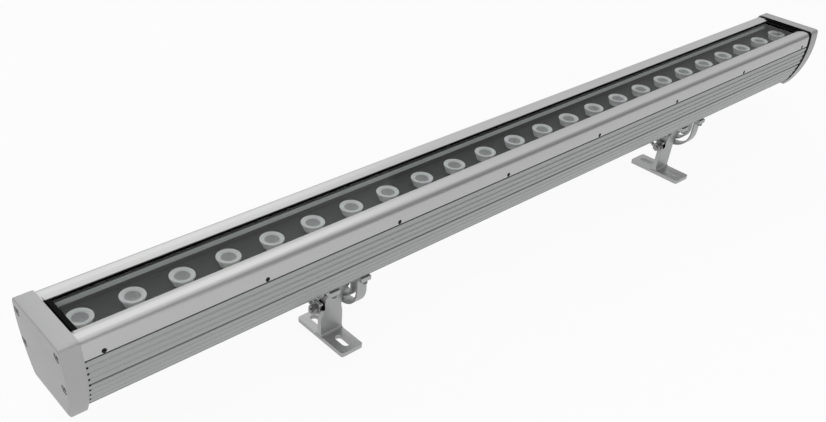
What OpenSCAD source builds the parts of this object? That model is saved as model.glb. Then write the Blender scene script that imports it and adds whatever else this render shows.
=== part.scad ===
// Outdoor wall washer light: a straight aluminium lamp on two tilting feet.
// X runs along the lamp, -Y is the front, +Z is up.
// The origin lies on the mounting surface, below the middle of the whole fitting.
// Depths are measured down from the top of the end caps.

/* [Lamp body] */
// Length over the two end caps, without the spacer at the cable end
lamp_length = 976.5; // [960:0.5:1040]
// Half of the end cap's largest width
cap_half_w = 37.7; // [37:0.1:39]
// Height of the end caps
cap_height = 70.5; // [69:0.1:74]
// Radius of the bulging sides
side_radius = 96; // [90:1:110]
// Depth at which the sides are widest
side_mid_d = 20; // [18:0.5:22]
// Thickness of each end cap
cap_thick = 15; // [14:0.5:22]
// How far the body lies inside the end cap's outline
body_inset = 0.5; // [0.3:0.1:1]
// Depth of the body's top face
body_top_d = 0.8; // [0.5:0.1:1]
// How far the end caps reach below the body
cap_overhang = 5.7; // [4.5:0.1:6]
// Depth of the joint between the rails and the housing
joint_d = 16.7; // [16.4:0.1:17.2]
// Height of the joint's shadow groove
joint_gap = 1; // [0.6:0.1:1.2]
// Spacing of the lengthwise grooves
flute_pitch = 5.55; // [5.4:0.05:5.7]
// Depth of the shallow grooves
flute_depth = 0.45; // [0.2:0.05:0.6]
// Depth of the one deep groove
deep_flute_depth = 1.3; // [0.8:0.1:1.4]
// Wall thickness of the housing
wall = 2.8; // [2.6:0.1:3.2]

/* [Light opening] */
// Half of the opening's width
opening_half_w = 20.8; // [20.6:0.1:21]
// Inner edge of the rail's flat top
bevel_half_w = 25.6; // [24:0.1:27]
// Thickness of the glass pane
glass_thick = 3; // [2.5:0.1:3.2]
// Width of the gasket's bars at the two ends
end_bar_w = 6; // [4:0.1:6.5]

/* [Light sources] */
// Distance from the body's end to the first lens
led_end = 13.7; // [13:0.1:18]
// How far the row of lenses sits towards the cable end
led_shift = 2.2; // [0:0.1:2.5]
// Radius of a lens's rim
lens_r = 9.8; // [9:0.1:10]
// Depth of the lens tops
lens_top_d = 9.3; // [9:0.1:9.6]
// How far the lenses stand out of their tray
lens_stand = 6.7; // [5:0.1:7]

/* [Brackets] */
// Distance between the two feet
feet_span = 506.7; // [400:0.1:560]
// How far the pair of feet sits towards the cable end
feet_offset = 15.6; // [0:0.1:30]
// Length of a foot plate, across the lamp
foot_len = 64.8; // [60:0.1:80]
// Width of a foot, along the lamp
foot_w = 24; // [22:0.1:24.5]
// Thickness of a foot plate
foot_thick = 4.35; // [4:0.05:6]
// Thickness of the foot's web
web_thick = 4.7; // [4:0.1:6]
// Height from the mounting surface to the end caps' top
total_height = 136.3; // [134:0.1:150]
// Drop from the body's underside to the tilt pivot
pivot_drop = 17.2; // [16.4:0.1:19]
// Outer radius of the saddle's ears
ear_r = 22; // [21.5:0.1:22.5]
// Width of an ear along the lamp
ear_w = 10.5; // [9:0.1:12]
// Width of a fixing slot in the foot
slot_w = 7.6; // [6:0.1:8]
// Length of a fixing slot, end to end
slot_len = 17; // [14:0.1:17]

/* [Cable end] */
// Thickness of the black spacer between the body and the cap at the cable end
cable_gap = 4; // [3:0.1:5]
// How far the gland stands out of its end cap
gland_out = 18; // [16:0.5:24]

/* [Shown] */
// Which sub-part to show

/* [Hidden] */

// Scale of the standard small sizes, so that the fasteners follow the lamp
unit = cap_height / 70.5;
overrun = unit;
fit_gap = 0.3 * unit;
seat_gap = 0.1 * unit;
round_facets = 64;

// Positions along the lamp
lamp_x = -(gland_out + cable_gap) / 2;
cap_out_x = lamp_length / 2;
cap_in_x = cap_out_x - cap_thick;
gasket_thick = 1.4 * unit;
body_end_x = cap_in_x;
left_x = lamp_x + feet_offset - feet_span / 2;
right_x = lamp_x + feet_offset + feet_span / 2;

// Section of the body
body_bottom_d = cap_height - cap_overhang;
body_half_w = cap_half_w - body_inset;
corner_r = 3 * unit;
lower_corner_r = 4 * unit;
arc_steps = 6;
rib_count = 8;
deep_rib = 3;
groove_share = 0.15;
rib_shares = [groove_share, 0.33, 0.67, 1 - groove_share, 1];
rail_thick = 2.7 * unit;
rail_in_w = body_half_w - rail_thick;
upright_w = rail_in_w - seat_gap;
rail_top_thick = 1.8 * unit;
lip_drop = 1.2 * unit;
gasket_top_d = body_top_d + rail_top_thick;
gasket_lip = 0.8 * unit;
glass_top_d = gasket_top_d + gasket_lip;
glass_bottom_d = glass_top_d + glass_thick;
gasket_bottom_d = glass_bottom_d + gasket_lip;
gasket_tuck = 1.4 * unit;
gasket_half_w = bevel_half_w + gasket_tuck;
channel_w = opening_half_w - seat_gap;
upright_top_d = gasket_top_d + seat_gap;
rail_low_d = joint_d - joint_gap / 2;
house_top_d = joint_d + joint_gap / 2;

// Light sources
led_count = 24;
led_pitch = 2 * (body_end_x - led_end) / (led_count - 1);
lens_plate_top_d = lens_top_d + lens_stand;
lens_plate_thick = 1.6 * unit;
lens_plate_low_d = lens_plate_top_d + lens_plate_thick;
ledge_w = 1.3 * unit;
ledge_h = 1.2 * unit;
lens_foot_r = 0.56 * lens_r;
lens_dish_r = 0.64 * lens_r;
lens_dish_d = 0.5 * lens_r;
lens_well_r = 0.42 * lens_r;
lens_well_h = 0.28 * lens_r;
lens_floor_r = 0.7 * lens_dish_r;
lens_floor_d = 1.1 * lens_dish_d;
lens_well_top = 1.3 * lens_well_h;
lens_h = 11.7 * unit;
lens_rim_h = 1 * unit;
lens_neck_r = lens_foot_r + (lens_r - lens_foot_r) * (lens_h - lens_stand) / (lens_h - lens_rim_h);
tray_lip_drop = 2 * unit;
tray_lip_thick = 0.8 * unit;
tray_lip_h = lens_stand - tray_lip_drop;
board_top_d = lens_top_d + lens_h;
board_thick = 1.6 * unit;
shelf_top_d = board_top_d + board_thick;
shelf_thick = 3 * unit;
shelf_low_d = shelf_top_d + shelf_thick;
board_half_w = 17.5 * unit;
emitter_w = 5 * unit;
emitter_h = 0.9 * unit;
dome_r = 1.5 * unit;
board_end_gap = 3 * unit;
board_half_len = body_end_x - board_end_gap;

// Underside slot that carries the saddles
slide_mouth_w = 10.4 * unit;
slide_in_w = 16.4 * unit;
slide_lip = 2.2 * unit;
slide_in_h = 4.2 * unit;
slide_wall = 2 * unit;
slide_top_d = body_bottom_d - slide_lip - slide_in_h;
cavity_low_d = slide_top_d - slide_wall;
cavity_side_d = body_bottom_d - wall;

// Screw ports for the end caps
port_inset = 4 * unit;
upper_port_y = rail_in_w - port_inset;
port_drop = 2.3 * unit;
upper_port_d = gasket_bottom_d + port_drop;
lower_port_d = 37 * unit;
lower_port_y = side_w(lower_port_d, rail_in_w) - port_inset / 2;
port_r = 2.1 * unit;
port_boss_r = 4.4 * unit;

// Driver in the lower cavity
driver_board_d = 49.6 * unit;
driver_board_thick = 1.6 * unit;
groove_depth = 1.2 * unit;
driver_x = 60 * unit;
driver_len = 300 * unit;
driver_half_w = side_w(driver_board_d, body_half_w) - wall + groove_depth / 2;
wire_r = 1 * unit;
wire_step = 4.5 * unit;
wire_hole_r = 5 * unit;
lamp_wire_off = 100 * unit;
lamp_wire_x = driver_x + lamp_wire_off;

// Small screws
m3_r = 1.5 * unit;
m3_head_r = 2.6 * unit;
m3_head_h = 1.6 * unit;
rail_screw_count = 8;
rail_screw_end = 14.4 * unit;
rail_screw_pitch = 2 * (body_end_x - rail_screw_end) / (rail_screw_count - 1);
rail_shaft_r = 1.1 * unit;
rail_shaft_len = 5 * unit;
rail_head_r = 1.8 * unit;
rail_head_h = 1.2 * unit;
rail_drive_r = 0.9 * unit;
rail_drive_d = 0.7 * unit;
rail_screw_rise = 2.7 * unit;
rail_screw_d = joint_d - rail_screw_rise;
rail_seat_thick = 1.2 * unit;
rail_screw_seat_y = rail_in_w + rail_seat_thick;
m4_r = 2 * unit;
m4_head_r = 3.4 * unit;
m4_head_h = 2.4 * unit;
cap_screw_len = 12 * unit;
cap_recess_r = 3.8 * unit;
cap_recess_d = 2.8 * unit;
board_screw_count = 8;
board_screw_y = 14 * unit;

// End caps
cap_face_thick = 5 * unit;
cap_pocket_d = cap_thick - cap_face_thick;
cap_wall = 4.4 * unit;
cap_edge = 1.2 * unit;
cap_toe_d = 64 * unit;
cap_toe_in = 2.4 * unit;
gasket_side_w = upright_w - cap_edge;
spacer_inset = 1 * unit;
spacer_half_w = body_half_w - spacer_inset;
spacer_top_d = body_top_d + spacer_inset;
spacer_low_d = body_bottom_d - spacer_inset;
spacer_corner_d = spacer_top_d + corner_r;
gasket_low_d = body_bottom_d - lower_corner_r;
pocket_low_w = side_w(cavity_low_d, gasket_side_w) - cap_wall;

// Gland
gland_d = 40 * unit;
gland_r = 8 * unit;
gland_bore_r = 4.2 * unit;
gland_hex_r = 11 * unit;
gland_hex_h = 5 * unit;
gland_nut_r = 10 * unit;
gland_nut_h = 0.62 * gland_out;
gland_thread_r = 6.8 * unit;
gland_in = 8 * unit;
gland_seal_fit_r = 5 * unit;

// Brackets, with X from the bracket's own middle
pivot_z = total_height - body_bottom_d - pivot_drop;
ear_wall = 2 * unit;
ear_in_r = ear_r - ear_wall;
lock_r = 2.2 * unit;
lock_channel_gap = 1.1 * unit;
guide_r = ear_in_r - 2 * lock_r - lock_channel_gap;
guide_in_r = guide_r - ear_wall;
lug_half_w = 6.3 * unit;
flange_thick = 4.2 * unit;
flange_top_z = total_height - body_bottom_d;
flange_low_z = flange_top_z - flange_thick;
knuckle_half_x = 9.7 * unit;
washer_thick = 1.5 * unit;
ear_in_x = knuckle_half_x + washer_thick + fit_gap;
ear_out_x = ear_in_x + ear_w;
knuckle_r = 9 * unit;
knuckle_half_y = 6 * unit;
knuckle_low_z = pivot_z - knuckle_half_y;
shoulder_gap = 0.8 * unit;
shoulder_z = pivot_z - ear_r - shoulder_gap;
shoulder_share = 0.3;
shoulder_low_z = shoulder_z - shoulder_share * (shoulder_z - foot_thick);
open_ear_y = 4 * unit;
open_ear_w = 4 * unit;
nut_x = ear_in_x + open_ear_w;
lock_arc_r = (ear_in_r + guide_r) / 2;
lock_z = pivot_z - lock_arc_r;
pivot_r = 3 * unit;
pivot_head_r = 5.6 * unit;
lock_head_r = 4.6 * unit;
bolt_head_h = 4 * unit;
bolt_washer_h = 1.2 * unit;
pivot_washer_r = 6.6 * unit;
lock_washer_r = 5.4 * unit;
friction_pivot_r = 6.4 * unit;
friction_lock_r = 5.2 * unit;
nut_h = 4.4 * unit;
bolt_end = 1.6 * unit;
bolt_end_x = nut_x + bolt_washer_h + nut_h + bolt_end;
slot_edge = 6 * unit;
slot_y = foot_len / 2 - slot_edge - slot_len / 2;
foot_corner_r = 3 * unit;
slide_nut_len = 34 * unit;
slide_nut_h = 3.6 * unit;
slide_screw_x = 5.6 * unit;
slide_screw_r = 2.5 * unit;
slide_head_r = 4.6 * unit;
slide_head_h = 2.1 * unit;
clamp_head_h = 2.6 * unit;
clamp_head_r = 2.6 * unit;
clamp_y = ear_r + clamp_head_r + fit_gap;
flange_edge = 2.3 * unit;
flange_half_y = clamp_y + flange_edge;
flange_mid_y = 18 * unit;
lug_w = 3 * unit;
lug_out_x = ear_in_x + lug_w;
clamp_x = ear_in_x + ear_w / 2;

// Half width of the bulging section at a depth
function side_w(d, half) = half - side_radius + sqrt(side_radius * side_radius - (d - side_mid_d) * (d - side_mid_d));

// Corner rounding measured from the corner's end of the side
function corner_cut(t, r) = t < r ? r - sqrt(r * r - (r - t) * (r - t)) : 0;

// Points of one side of the section, each as width and depth
function round_top(top, half) = [for (i = [0 : arc_steps])
    let (t = corner_r * (1 - cos(90 * i / arc_steps)))
    [side_w(top + t, half) - corner_cut(t, corner_r), top + t]];
function plain_side(from_d, to_d, half) = [for (i = [1 : 2 * arc_steps])
    let (d = from_d + (to_d - from_d) * i / (2 * arc_steps))
    [side_w(d, half), d]];
function round_bottom(bottom, half) = [for (i = [arc_steps : -1 : 0])
    let (t = lower_corner_r * (1 - cos(90 * i / arc_steps)))
    [side_w(bottom - t, half) - corner_cut(t, lower_corner_r), bottom - t]];
function groove_depth_at(k, share) = share < 1 ? 0 : (k == deep_rib ? deep_flute_depth : flute_depth);
function ribbed_side(half) = [for (k = [0 : rib_count - 1]) for (s = rib_shares)
    let (d = joint_d + flute_pitch * (k + s))
    if (d > house_top_d && d < body_bottom_d - lower_corner_r)
    [side_w(d, half) - groove_depth_at(k, s), d]];

// A closed section from one side's points and their mirror image, in lamp height
function reversed(list) = [for (i = [len(list) - 1 : -1 : 0]) list[i]];
function both_sides(pts) = concat([for (p = pts) [p[0], -p[1]]], [for (p = reversed(pts)) [-p[0], -p[1]]]);

// Moves the parts of the cable end, which stands off the body by the spacer
module in_cable_end() {
    translate([lamp_x + cable_gap, 0, total_height])
        children();
}

// Extrudes a section drawn in Y and Z along X
module along_x(x0, x1) {
    translate([x0, 0, 0])
        rotate([90, 0, 90])
            linear_extrude(height = x1 - x0)
                children();
}

module rod_x(x0, x1, r) {
    translate([x0, 0, 0])
        rotate([0, 90, 0])
            cylinder(h = x1 - x0, r = r, $fn = round_facets);
}

module hex_x(x0, x1, r) {
    translate([x0, 0, 0])
        rotate([0, 90, 0])
            cylinder(h = x1 - x0, r = r, $fn = 6);
}

module rod_y(y0, y1, r) {
    translate([0, y0, 0])
        rotate([-90, 0, 0])
            cylinder(h = y1 - y0, r = r, $fn = round_facets);
}

module rod_z(z0, z1, r) {
    translate([0, 0, z0])
        cylinder(h = z1 - z0, r = r, $fn = round_facets);
}

// Moves the lamp's own frame, with height 0 at the caps' top, into place
module in_lamp() {
    translate([lamp_x, 0, total_height])
        children();
}

// Housing

module housing_section() {
    difference() {
        polygon(both_sides(concat(
            [[0, shelf_top_d], [channel_w, shelf_top_d],
             [channel_w, lens_plate_low_d + ledge_h], [channel_w - ledge_w, lens_plate_low_d + ledge_h],
             [channel_w - ledge_w, lens_plate_low_d], [channel_w, lens_plate_low_d],
             [channel_w, gasket_bottom_d], [gasket_half_w + seat_gap, gasket_bottom_d],
             [gasket_half_w + seat_gap, upright_top_d], [upright_w, upright_top_d],
             [upright_w, house_top_d], [side_w(house_top_d, body_half_w), house_top_d]],
            ribbed_side(body_half_w),
            round_bottom(body_bottom_d, body_half_w),
            [[0, body_bottom_d]])));
        difference() {
            polygon(both_sides(concat(
                [[0, shelf_low_d]],
                plain_side(shelf_low_d - wall / 2, cavity_side_d - lower_corner_r / 2, body_half_w - wall),
                [[slide_in_w / 2 + slide_wall, cavity_side_d], [slide_in_w / 2 + slide_wall, cavity_low_d],
                 [0, cavity_low_d]])));
            for (s = [-1, 1])
                translate([s * lower_port_y, -lower_port_d])
                    circle(r = port_boss_r, $fn = round_facets);
        }
        for (s = [-1, 1]) {
            translate([s * upper_port_y, -upper_port_d])
                circle(r = port_r, $fn = round_facets);
            translate([s * lower_port_y, -lower_port_d])
                circle(r = port_r, $fn = round_facets);
        }
        translate([-driver_half_w - seat_gap, -driver_board_d - driver_board_thick - seat_gap])
            square([2 * driver_half_w + 2 * seat_gap, driver_board_thick + 2 * seat_gap]);
        translate([-slide_mouth_w / 2, -body_bottom_d - overrun])
            square([slide_mouth_w, slide_lip + overrun + seat_gap]);
        translate([-slide_in_w / 2, -slide_top_d - slide_in_h])
            square([slide_in_w, slide_in_h]);
    }
}

module housing() {
    color([0.66, 0.67, 0.67])
        in_lamp()
            difference() {
                along_x(-body_end_x, body_end_x)
                    housing_section();
                translate([lamp_wire_x, 0, 0])
                    rod_z(-shelf_low_d - overrun, -shelf_top_d + overrun, wire_hole_r);
                for (x = rail_screw_xs) {
                    translate([x, 0, -rail_screw_d])
                        rod_y(-upright_w - overrun, -upright_w + rail_shaft_len, rail_shaft_r);
                    translate([x, 0, -rail_screw_d])
                        rod_y(upright_w - rail_shaft_len, upright_w + overrun, rail_shaft_r);
                }
                for (p = board_screw_places)
                    translate([p[0], p[1], 0])
                        rod_z(-shelf_low_d - overrun, -shelf_top_d + overrun, m3_r);
            }
}

rail_screw_xs = [for (i = [0 : rail_screw_count - 1]) rail_screw_pitch * (i - (rail_screw_count - 1) / 2)];
board_screw_places = [for (i = [0 : board_screw_count - 1])
    [led_shift + 3 * led_pitch * (i - (board_screw_count - 1) / 2), (i % 2 == 0 ? 1 : -1) * board_screw_y]];

// Rails around the opening

module rail_section() {
    polygon([for (p = concat(
        [[opening_half_w, body_top_d + lip_drop], [bevel_half_w, body_top_d]],
        round_top(body_top_d, body_half_w),
        plain_side(body_top_d + corner_r, rail_low_d, body_half_w),
        [[rail_in_w, rail_low_d], [rail_in_w, gasket_top_d], [opening_half_w, gasket_top_d]]))
        [p[0], -p[1]]]);
}

module rear_rail() {
    color([0.72, 0.73, 0.73])
        in_lamp()
            difference() {
                along_x(-body_end_x, body_end_x)
                    rail_section();
                for (x = rail_screw_xs)
                    translate([x, 0, -rail_screw_d]) {
                        rod_y(rail_in_w - overrun, rail_screw_seat_y + overrun, rail_shaft_r + seat_gap);
                        rod_y(rail_screw_seat_y, body_half_w + overrun, rail_head_r + seat_gap);
                    }
            }
}

module front_rail() {
    mirror([0, 1, 0])
        rear_rail();
}

module rear_rail_screws() {
    color([0.3, 0.3, 0.31])
        in_lamp()
            for (x = rail_screw_xs)
                translate([x, 0, -rail_screw_d])
                    difference() {
                        union() {
                            rod_y(upright_w - rail_shaft_len + seat_gap, rail_screw_seat_y + rail_head_h / 2, rail_shaft_r);
                            rod_y(rail_screw_seat_y, rail_screw_seat_y + rail_head_h, rail_head_r);
                        }
                        translate([0, rail_screw_seat_y + rail_head_h - rail_drive_d, 0])
                            rotate([-90, 0, 0])
                                cylinder(h = rail_drive_d + overrun, r = rail_drive_r, $fn = 6);
                    }
}

module front_rail_screws() {
    mirror([0, 1, 0])
        rear_rail_screws();
}

// Glass and its gasket

module glass() {
    color([0.75, 0.85, 0.82, 0.35])
        in_lamp()
            translate([-body_end_x + gasket_lip, -gasket_half_w + gasket_lip, -glass_bottom_d])
                cube([2 * (body_end_x - gasket_lip), 2 * (gasket_half_w - gasket_lip), glass_thick]);
}

module glass_gasket() {
    color([0.06, 0.06, 0.06])
        in_lamp()
            difference() {
                translate([-body_end_x, -gasket_half_w, -gasket_bottom_d])
                    cube([2 * body_end_x, 2 * gasket_half_w, gasket_bottom_d - gasket_top_d]);
                translate([-body_end_x + gasket_lip, -gasket_half_w + gasket_lip, -glass_bottom_d])
                    cube([2 * (body_end_x - gasket_lip), 2 * (gasket_half_w - gasket_lip), glass_thick]);
                translate([-body_end_x + end_bar_w, -channel_w, -gasket_bottom_d - overrun])
                    cube([2 * (body_end_x - end_bar_w), 2 * channel_w, gasket_bottom_d + overrun]);
            }
}

// End caps

module cap_section(inset) {
    polygon(both_sides(concat(
        [[0, inset]],
        [for (p = round_top(0, cap_half_w - inset)) [p[0], p[1] + inset]],
        plain_side(corner_r + inset, cap_height - inset, cap_half_w - inset),
        [[0, cap_height - inset]])));
}

module cap_holes(r, x0, x1) {
    for (s = [-1, 1]) {
        translate([0, s * upper_port_y, -upper_port_d])
            rod_x(x0, x1, r);
        translate([0, s * lower_port_y, -lower_port_d])
            rod_x(x0, x1, r);
    }
}

// Outline of the end gasket, with a clearance added all round
module gasket_outline(grow) {
    polygon(both_sides(concat(
        [[0, gasket_bottom_d - grow], [gasket_half_w + grow, gasket_bottom_d - grow],
         [gasket_half_w + grow, upright_top_d + cap_edge - grow], [gasket_side_w + grow, upright_top_d + cap_edge - grow]],
        plain_side(house_top_d, gasket_low_d, gasket_side_w + grow),
        [[0, gasket_low_d + grow]])));
}

// Opening of the cavity, shared by the caps' pocket and the end gasket
module pocket_outline() {
    polygon(both_sides([[0, shelf_low_d], [rail_in_w - cap_wall, shelf_low_d],
        [pocket_low_w, cavity_low_d], [0, cavity_low_d]]));
}

// The cap at the positive end, with its face towards +X
module cap_body() {
    difference() {
        along_x(cap_in_x, cap_out_x)
            cap_section(0);
        along_x(cap_in_x - overrun, cap_in_x + gasket_thick)
            gasket_outline(seat_gap);
        difference() {
            along_x(cap_in_x, cap_in_x + cap_pocket_d)
                pocket_outline();
            cap_holes(port_boss_r, cap_in_x - overrun, cap_out_x);
        }
        cap_holes(m4_r + seat_gap, cap_in_x - overrun, cap_out_x + overrun);
        cap_holes(cap_recess_r, cap_out_x - cap_recess_d, cap_out_x + overrun);
        translate([cap_out_x, -cap_half_w, -cap_toe_d])
            rotate([0, atan(cap_toe_in / (cap_height - cap_toe_d)), 0])
                translate([0, 0, -cap_height])
                    cube([cap_thick, 2 * cap_half_w, cap_height]);
    }
}

module end_cap_right() {
    color([0.62, 0.63, 0.63])
        in_cable_end()
            difference() {
                cap_body();
                translate([0, 0, -gland_d])
                    rod_x(cap_in_x, cap_out_x + overrun, gland_thread_r + seat_gap);
            }
}

module end_cap_left() {
    color([0.62, 0.63, 0.63])
        in_lamp()
            mirror([1, 0, 0])
                cap_body();
}

module spacer_outline() {
    polygon(both_sides(concat(
        [[0, spacer_top_d]],
        round_top(spacer_top_d, spacer_half_w),
        plain_side(spacer_corner_d, spacer_low_d, spacer_half_w),
        [[0, spacer_low_d]])));
}

module end_gasket_right() {
    color([0.08, 0.08, 0.08])
        in_lamp()
            difference() {
                union() {
                    along_x(body_end_x, cap_in_x + cable_gap)
                        spacer_outline();
                    along_x(body_end_x, cap_in_x + cable_gap + gasket_thick)
                        gasket_outline(0);
                }
                along_x(body_end_x - overrun, cap_out_x)
                    pocket_outline();
                cap_holes(m4_r + seat_gap, body_end_x - overrun, cap_out_x);
            }
}

module end_gasket_left() {
    color([0.08, 0.08, 0.08])
        in_lamp()
            mirror([1, 0, 0])
                difference() {
                    along_x(cap_in_x, cap_in_x + gasket_thick)
                        difference() {
                            gasket_outline(0);
                            pocket_outline();
                        }
                    cap_holes(m4_r + seat_gap, cap_in_x - overrun, cap_out_x);
                }
}

module cap_screw_set() {
    difference() {
        union() {
            cap_holes(m4_r, cap_in_x - cap_screw_len, cap_out_x - cap_recess_d + m4_r / 2);
            cap_holes(m4_head_r, cap_out_x - cap_recess_d, cap_out_x - cap_recess_d + m4_head_h);
        }
        for (s = [-1, 1])
            for (p = [[upper_port_y, upper_port_d], [lower_port_y, lower_port_d]])
                translate([0, s * p[0], -p[1]])
                    hex_x(cap_out_x - cap_recess_d + m4_head_h / 2, cap_out_x + overrun, m4_r);
    }
}

module cap_screws_right() {
    color([0.35, 0.35, 0.36])
        in_cable_end()
            cap_screw_set();
}

module cap_screws_left() {
    color([0.35, 0.35, 0.36])
        in_lamp()
            mirror([1, 0, 0])
                cap_screw_set();
}

// Light sources

led_xs = [for (i = [0 : led_count - 1]) led_shift + led_pitch * (i - (led_count - 1) / 2)];

module led_board() {
    color([0.1, 0.14, 0.12])
        in_lamp()
            difference() {
                translate([-board_half_len, -board_half_w, -shelf_top_d])
                    cube([2 * board_half_len, 2 * board_half_w, board_thick]);
                for (p = board_screw_places)
                    translate([p[0], p[1], 0])
                        rod_z(-shelf_top_d - overrun, -board_top_d + overrun, m3_r + seat_gap);
            }
}

module board_screws() {
    color([0.5, 0.5, 0.5])
        in_lamp()
            for (p = board_screw_places)
                translate([p[0], p[1], 0]) {
                    rod_z(-shelf_low_d, -board_top_d + m3_head_h / 2, m3_r);
                    rod_z(-board_top_d, -board_top_d + m3_head_h, m3_head_r);
                }
}

module led_emitters() {
    color([0.9, 0.85, 0.5])
        in_lamp()
            for (x = led_xs)
                translate([x, 0, -board_top_d]) {
                    translate([-emitter_w / 2, -emitter_w / 2, 0])
                        cube([emitter_w, emitter_w, emitter_h]);
                    intersection() {
                        translate([0, 0, emitter_h / 2])
                            sphere(r = dome_r, $fn = 24);
                        translate([-dome_r, -dome_r, 0])
                            cube([2 * dome_r, 2 * dome_r, 2 * dome_r]);
                    }
                }
}

module lenses() {
    color([0.82, 0.86, 0.86, 0.6])
        in_lamp()
            for (x = led_xs)
                translate([x, 0, -board_top_d])
                    rotate_extrude($fn = 40)
                        polygon([[lens_well_r, 0], [lens_foot_r, 0], [lens_r, lens_h - lens_rim_h],
                            [lens_r, lens_h - lens_rim_h / 4], [lens_r - lens_rim_h / 4, lens_h], [lens_dish_r, lens_h],
                            [lens_floor_r, lens_h - lens_dish_d], [0, lens_h - lens_floor_d],
                            [0, lens_well_top], [lens_well_r, lens_well_h]]);
}

module lens_plate() {
    color([0.05, 0.06, 0.06])
        in_lamp()
            difference() {
                translate([-board_half_len, -channel_w + seat_gap, -lens_plate_low_d])
                    cube([2 * board_half_len, 2 * (channel_w - seat_gap), lens_plate_thick + tray_lip_h]);
                translate([-board_half_len - overrun, -channel_w + seat_gap + tray_lip_thick, -lens_plate_top_d])
                    cube([2 * (board_half_len + overrun), 2 * (channel_w - seat_gap - tray_lip_thick), lens_stand]);
                for (x = led_xs)
                    translate([x, 0, 0])
                        rod_z(-lens_plate_low_d - overrun, -lens_plate_top_d + overrun, lens_neck_r + seat_gap);
            }
}

// Driver

transformer_w = 30 * unit;
transformer_l = 36 * unit;
transformer_h = 18 * unit;
transformer_x = driver_x;
capacitor_r = 6 * unit;
capacitor_h = 17 * unit;
capacitor_step = 15 * unit;
capacitor_off = 70 * unit;
capacitor_x = driver_x + capacitor_off;
sink_w = 34 * unit;
sink_l = 44 * unit;
sink_h = 15 * unit;
sink_fins = 5;
sink_fin = 1.8 * unit;
sink_off = 75 * unit;
sink_x = driver_x - sink_off;
terminal_w = 20 * unit;
terminal_l = 12 * unit;
terminal_h = 10 * unit;
terminal_inset = 14 * unit;
terminal_x = driver_x + driver_len / 2 - terminal_inset;

module on_driver(x) {
    in_lamp()
        translate([x, 0, -driver_board_d])
            children();
}

module driver_board() {
    color([0.1, 0.3, 0.16])
        on_driver(driver_x)
            translate([-driver_len / 2, -driver_half_w, -driver_board_thick])
                cube([driver_len, 2 * driver_half_w, driver_board_thick]);
}

module driver_transformer() {
    color([0.75, 0.6, 0.2])
        on_driver(transformer_x) {
            translate([-transformer_l / 2, -transformer_w / 2, 0])
                cube([transformer_l, transformer_w, transformer_h / 4]);
            translate([-transformer_l / 2 + sink_fin, -transformer_w / 3, transformer_h / 4])
                cube([transformer_l - 2 * sink_fin, 2 * transformer_w / 3, transformer_h / 2]);
            translate([-transformer_l / 2, -transformer_w / 2, 3 * transformer_h / 4])
                cube([transformer_l, transformer_w, transformer_h / 4]);
        }
}

module driver_capacitors() {
    color([0.12, 0.12, 0.2])
        on_driver(capacitor_x)
            for (i = [-1, 1])
                translate([0, i * capacitor_step / 2, 0])
                    rod_z(0, capacitor_h, capacitor_r);
}

module driver_heat_sink() {
    color([0.7, 0.7, 0.7])
        on_driver(sink_x) {
            translate([-sink_l / 2, -sink_w / 2, 0])
                cube([sink_l, sink_w, 2 * sink_fin]);
            for (i = [0 : sink_fins - 1])
                translate([-sink_l / 2, -sink_w / 2 + i * (sink_w - sink_fin) / (sink_fins - 1), sink_fin])
                    cube([sink_l, sink_fin, sink_h - sink_fin]);
        }
}

module terminal_block() {
    color([0.2, 0.45, 0.25])
        on_driver(terminal_x)
            difference() {
                translate([-terminal_l / 2, -terminal_w / 2, 0])
                    cube([terminal_l, terminal_w, terminal_h]);
                for (i = [-1 : 1]) {
                    translate([0, i * wire_step, terminal_h / 2])
                        rod_x(0, terminal_l, wire_r + seat_gap);
                    translate([0, i * wire_step, 0])
                        rod_z(terminal_h / 2, terminal_h + overrun, m3_r);
                }
            }
}

module supply_wires() {
    color([0.5, 0.2, 0.1])
        in_lamp()
            for (i = [-1 : 1])
                translate([0, i * wire_step, -driver_board_d + terminal_h / 2])
                    rod_x(terminal_x + seat_gap, cap_in_x + cable_gap + cap_pocket_d - gland_in - fit_gap, wire_r);
}

module lamp_wires() {
    color([0.7, 0.1, 0.1])
        in_lamp()
            for (i = [-1, 1])
                translate([lamp_wire_x, i * wire_step / 2, 0])
                    rod_z(-driver_board_d, -shelf_top_d, wire_r);
}

// Cable gland on the positive end

module gland_body() {
    color([0.2, 0.2, 0.21])
        in_cable_end()
            translate([0, 0, -gland_d])
                difference() {
                    union() {
                        rod_x(cap_in_x + cap_pocket_d - gland_in, cap_out_x + gland_hex_h, gland_thread_r);
                        hex_x(cap_out_x, cap_out_x + gland_hex_h, gland_hex_r);
                        rod_x(cap_out_x, cap_out_x + gland_out - gland_hex_h, gland_thread_r);
                    }
                    rod_x(cap_in_x + cap_pocket_d - gland_in - overrun, cap_out_x + gland_out, gland_seal_fit_r);
                }
}

module gland_seal() {
    color([0.1, 0.1, 0.1])
        in_cable_end()
            translate([0, 0, -gland_d])
                difference() {
                    rod_x(cap_out_x + gland_hex_h, cap_out_x + gland_out - gland_hex_h, gland_seal_fit_r - seat_gap);
                    rod_x(cap_out_x, cap_out_x + gland_out, gland_bore_r);
                }
}

module gland_nut() {
    color([0.17, 0.17, 0.18])
        in_cable_end()
            translate([0, 0, -gland_d])
                difference() {
                    union() {
                        hex_x(cap_out_x + gland_out - gland_nut_h, cap_out_x + gland_out - gland_hex_h / 2, gland_nut_r);
                        rod_x(cap_out_x + gland_out - gland_nut_h, cap_out_x + gland_out, gland_r);
                    }
                    rod_x(cap_out_x, cap_out_x + gland_out - gland_hex_h, gland_thread_r + seat_gap);
                    rod_x(cap_out_x, cap_out_x + gland_out + overrun, gland_bore_r);
                }
}

// Foot

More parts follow.
